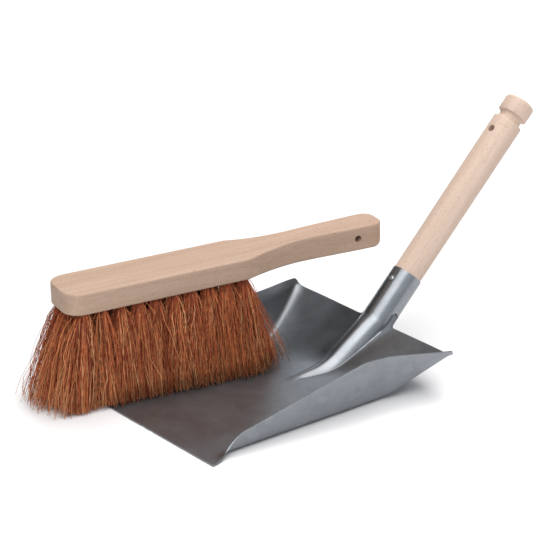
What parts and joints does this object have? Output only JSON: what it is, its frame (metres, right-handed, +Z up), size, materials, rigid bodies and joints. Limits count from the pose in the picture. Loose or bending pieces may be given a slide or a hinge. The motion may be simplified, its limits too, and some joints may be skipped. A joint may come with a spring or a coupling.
{
  "type": "dust pan and brush set",
  "caption": "Pressed galvanised steel dust pan with a turned wooden handle nailed in its socket, and a wooden hand brush with coco fibre tufts standing in the pan",
  "frame": {"origin": "middle of the pan's flat underside, on the floor it stands on", "axes": "+Y runs from the pan's mouth to its handle, +Z up, +X to the right of a person who stands at the mouth and looks along the handle; the brush stands over the left wall"},
  "size_m": [0.2151, 0.4473, 0.1956],
  "materials": {
    "pan_steel": "satin",
    "handle_wood": "satin",
    "stock_wood": "matte",
    "fibre": "matte",
    "bright_steel": "satin"
  },
  "bodies": {
    "dustpan": {"pan": "pan_steel", "pan_handle": "handle_wood", "handle_nail": "bright_steel"},
    "brush": {"brush_stock": "stock_wood", "tuft_staples": "bright_steel", "tuft_far_1": "fibre", "tuft_far_2": "fibre", "tuft_far_3": "fibre", "tuft_far_4": "fibre", "tuft_far_5": "fibre", "tuft_far_6": "fibre", "tuft_far_7": "fibre", "tuft_far_8": "fibre", "tuft_far_9": "fibre", "tuft_far_10": "fibre", "tuft_mid_far_1": "fibre", "tuft_mid_far_2": "fibre", "tuft_mid_far_3": "fibre", "tuft_mid_far_4": "fibre", "tuft_mid_far_5": "fibre", "tuft_mid_far_6": "fibre", "tuft_mid_far_7": "fibre", "tuft_mid_far_8": "fibre", "tuft_mid_far_9": "fibre", "tuft_mid_far_10": "fibre", "tuft_mid_near_1": "fibre", "tuft_mid_near_2": "fibre", "tuft_mid_near_3": "fibre", "tuft_mid_near_4": "fibre", "tuft_mid_near_5": "fibre", "tuft_mid_near_6": "fibre", "tuft_mid_near_7": "fibre", "tuft_mid_near_8": "fibre", "tuft_mid_near_9": "fibre", "tuft_mid_near_10": "fibre", "tuft_near_1": "fibre", "tuft_near_2": "fibre", "tuft_near_3": "fibre", "tuft_near_4": "fibre", "tuft_near_5": "fibre", "tuft_near_6": "fibre", "tuft_near_7": "fibre", "tuft_near_8": "fibre", "tuft_near_9": "fibre", "tuft_near_10": "fibre"}
  },
  "joints": [
    {"name": "brush_lift", "type": "slide", "parent": "dustpan", "child": "brush", "axis": [0, 0, 1], "range_m": [0, 0.25]}
  ]
}
